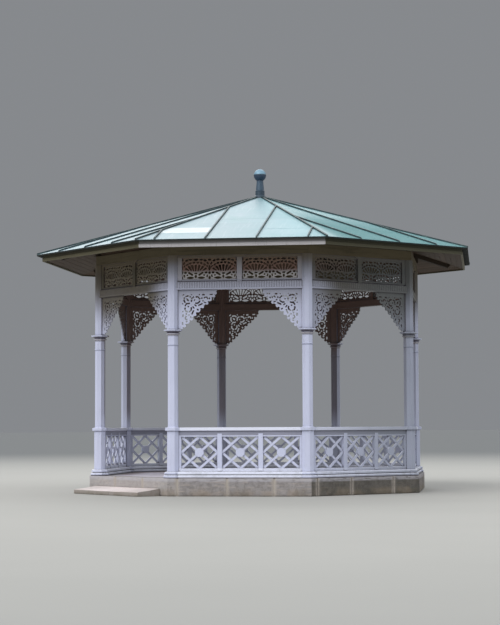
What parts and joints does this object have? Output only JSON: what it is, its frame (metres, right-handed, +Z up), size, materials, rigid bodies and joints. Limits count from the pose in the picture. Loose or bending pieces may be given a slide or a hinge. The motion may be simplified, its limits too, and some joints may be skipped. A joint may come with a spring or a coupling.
{
  "type": "bandstand",
  "caption": "Open octagonal timber bandstand on a stone base, with lattice balustrades, fretwork friezes and brackets, and a low sheet metal roof with a ball finial.",
  "frame": {"origin": "middle of the underside of the stone base, on the ground", "axes": "+Z up, -Y out through the entrance bay, +X to the right of someone facing the building from the entrance side"},
  "size_m": [9.033, 9.033, 6.9821],
  "materials": {
    "paint": "satin pale lilac-grey paint on timber",
    "roof_timber": "painted timber, dull",
    "soffit": "painted boards, dull",
    "kerb_stone": "rough hewn sandstone",
    "step_stone": "worn stone",
    "paving": "stone paving",
    "roof_metal": "weathered sheet metal",
    "seam_metal": "weathered sheet metal",
    "finial_metal": "dark weathered sheet metal"
  },
  "bodies": {
    "root": {"stone_plinth": "kerb_stone", "floor": "paving", "entrance_step": "step_stone", "post_1": "paint", "post_2": "paint", "post_3": "paint", "post_4": "paint", "post_5": "paint", "post_6": "paint", "post_7": "paint", "post_8": "paint", "balustrade_1": "paint", "balustrade_2": "paint", "balustrade_3": "paint", "balustrade_4": "paint", "balustrade_5": "paint", "balustrade_6": "paint", "balustrade_7": "paint", "frieze_1": "paint", "frieze_2": "paint", "frieze_3": "paint", "frieze_4": "paint", "frieze_5": "paint", "frieze_6": "paint", "frieze_7": "paint", "frieze_8": "paint", "brackets_1": "paint", "brackets_2": "paint", "brackets_3": "paint", "brackets_4": "paint", "brackets_5": "paint", "brackets_6": "paint", "brackets_7": "paint", "brackets_8": "paint", "wall_plate": "paint", "eaves_boards": "paint", "hip_rafters": "roof_timber", "king_post": "roof_timber", "roof_lining": "soffit", "fascia": "paint", "roof_sheets": "roof_metal", "roof_seams": "seam_metal", "finial": "finial_metal"}
  },
  "joints": []
}
